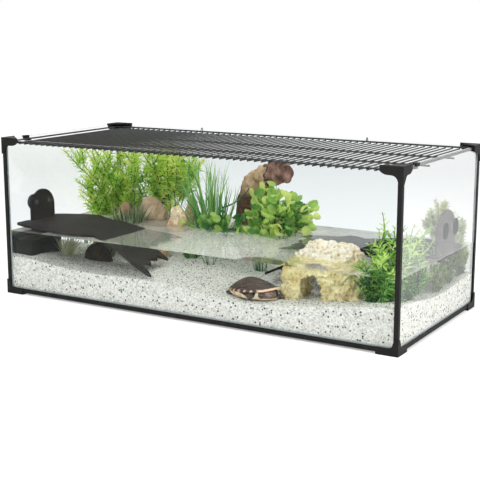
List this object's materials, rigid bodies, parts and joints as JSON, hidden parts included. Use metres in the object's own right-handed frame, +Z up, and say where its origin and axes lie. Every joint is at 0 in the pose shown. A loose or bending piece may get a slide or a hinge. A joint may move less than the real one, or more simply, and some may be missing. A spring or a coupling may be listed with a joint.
{
  "type": "turtle tank",
  "caption": "Low glass turtle tank with black corner fittings, a welded wire lid, gravel, two basking platforms on suction cups, a filter, rocks, driftwood, plants and a turtle.",
  "frame": {"origin": "middle of the footprint, at the undersides of the feet", "axes": "+X along the tank to the end with the second platform, +Y from the front pane to the back pane, +Z up"},
  "size_m": [1, 0.445, 0.37],
  "materials": {
    "glass": "clear float glass",
    "sealant": "translucent silicone",
    "black_plastic": "satin moulded",
    "filter_panel": "satin moulded",
    "lid_wire": "coated wire",
    "cup_rubber": "soft clear vinyl",
    "gravel": "fine white gravel with dark grains",
    "cream_stone": "rough, porous",
    "driftwood": "weathered bark",
    "tan_stone": "rough",
    "brown_stone": "rough",
    "turtle": "horn and skin",
    "grey_leaf": "leafy",
    "leaf": "leafy, slightly glossy"
  },
  "bodies": {
    "root": {"back_pane": "glass", "base_pane": "glass", "base_trim_back": "black_plastic", "base_trim_front": "black_plastic", "base_trim_left": "black_plastic", "base_trim_right": "black_plastic", "bottom_plant": "leaf", "broad_leaf_plant": "leaf", "brown_rock": "brown_stone", "cave_rock": "cream_stone", "corner_plant": "leaf", "dark_rock": "brown_stone", "driftwood": "driftwood", "edge_guard_back_left": "black_plastic", "edge_guard_back_right": "black_plastic", "edge_guard_front_left": "black_plastic", "edge_guard_front_right": "black_plastic", "feathery_plant": "leaf", "filter_cover": "filter_panel", "filter_housing": "black_plastic", "fine_leaf_plant": "leaf", "foot_back_left": "black_plastic", "foot_back_right": "black_plastic", "foot_front_left": "black_plastic", "foot_front_right": "black_plastic", "front_pane": "glass", "grass_plant": "leaf", "gravel_bed": "gravel", "left_pane": "glass", "lid_bars": "lid_wire", "lid_clip_left": "black_plastic", "lid_clip_right": "black_plastic", "lid_cross_rods": "lid_wire", "lid_frame": "lid_wire", "lid_hook_left": "lid_wire", "lid_hook_right": "lid_wire", "low_leaf_plant": "leaf", "pink_rock": "brown_stone", "platform_bracket_left": "black_plastic", "platform_bracket_right": "black_plastic", "platform_left": "black_plastic", "platform_right": "black_plastic", "right_pane": "glass", "silicone_seal": "sealant", "spiky_plant": "grey_leaf", "suction_cups_left": "cup_rubber", "suction_cups_right": "cup_rubber", "tan_rock_left": "tan_stone", "tan_rock_right": "tan_stone", "top_cap_back_left": "black_plastic", "top_cap_back_right": "black_plastic", "top_cap_front_left": "black_plastic", "top_cap_front_right": "black_plastic", "turtle": "turtle", "water_tuft": "leaf"}
  },
  "joints": []
}
